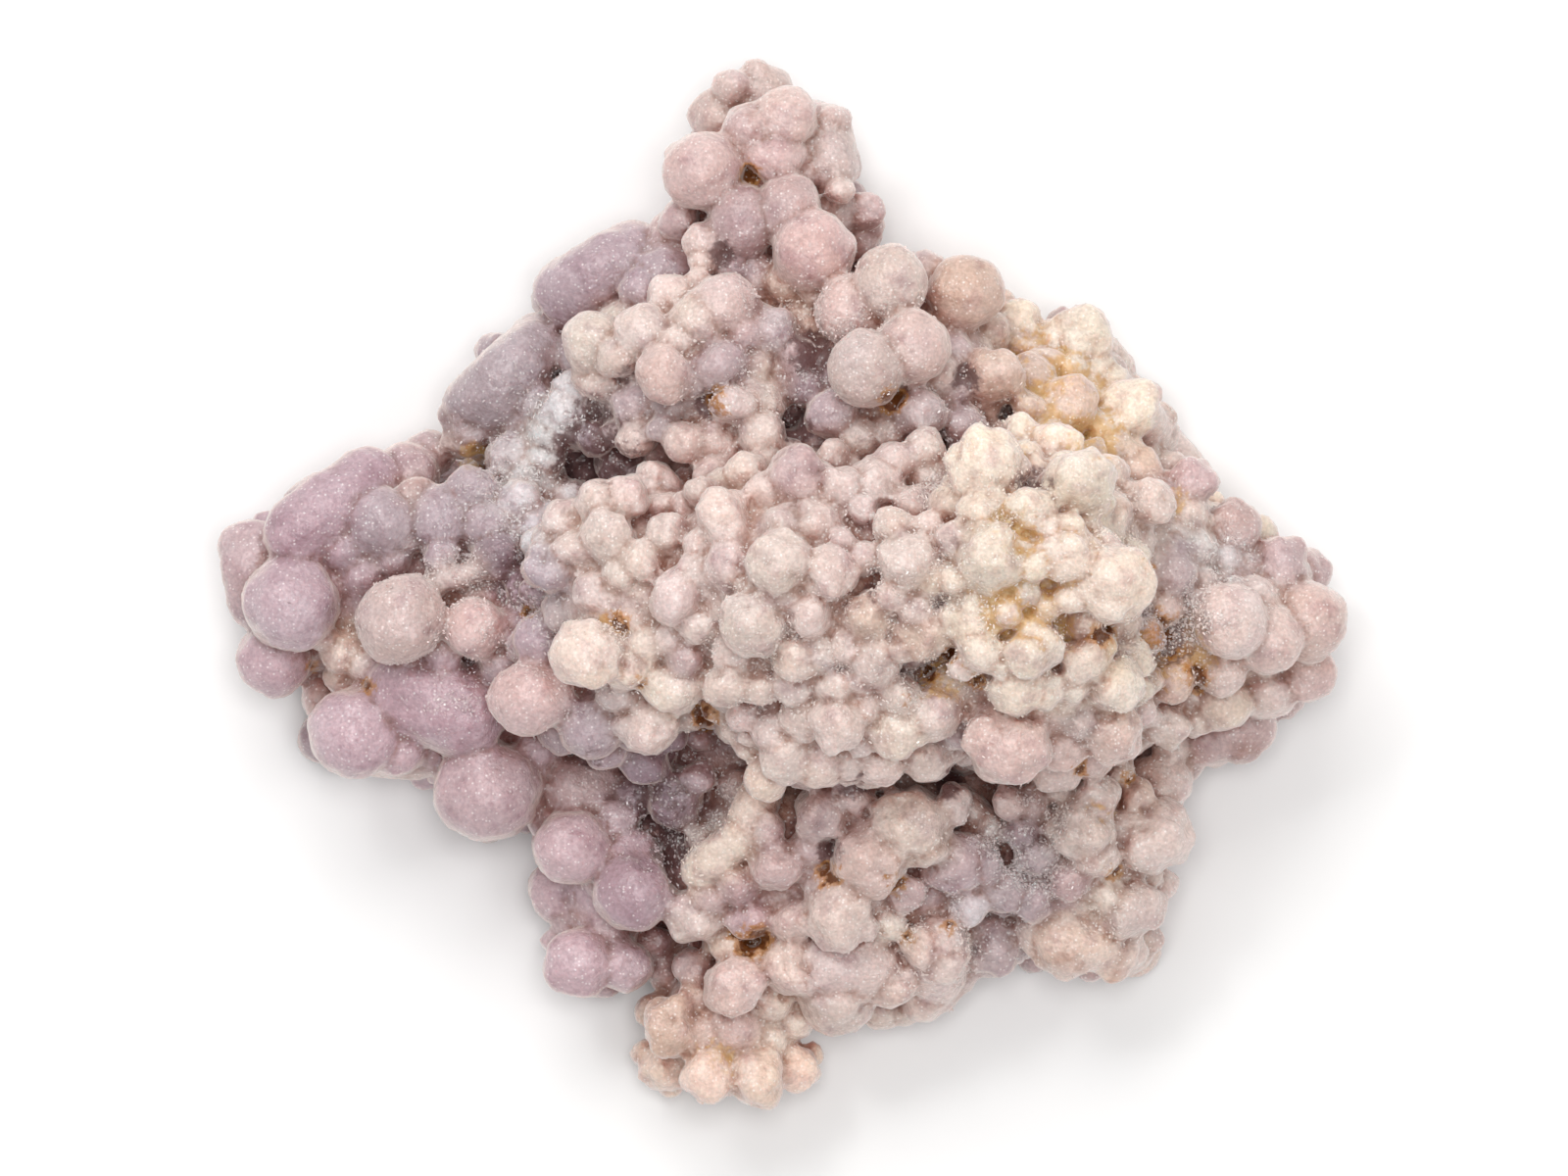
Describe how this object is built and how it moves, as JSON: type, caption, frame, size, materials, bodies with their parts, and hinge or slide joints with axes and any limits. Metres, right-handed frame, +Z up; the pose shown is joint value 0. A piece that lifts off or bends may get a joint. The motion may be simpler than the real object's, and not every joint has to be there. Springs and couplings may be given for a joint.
{
  "type": "botryoidal chalcedony specimen",
  "caption": "Grape-like chalcedony cluster, lilac to cream, grown as one stone and lying on its flat broken back.",
  "frame": {"origin": "centre of the cluster's outline seen from above, on the flat break that it rests on", "axes": "+X along the cluster's longest way, +Y across it towards the narrow summit lobe, +Z up out of the break"},
  "size_m": [0.0994, 0.0926, 0.0421],
  "materials": {
    "chalcedony": "cloudy translucent stone, frosted and sugary, lilac-grey at the edges and cream on the crest, with rust stains in the clefts"
  },
  "bodies": {
    "root": {"chalcedony": "chalcedony"}
  },
  "joints": []
}
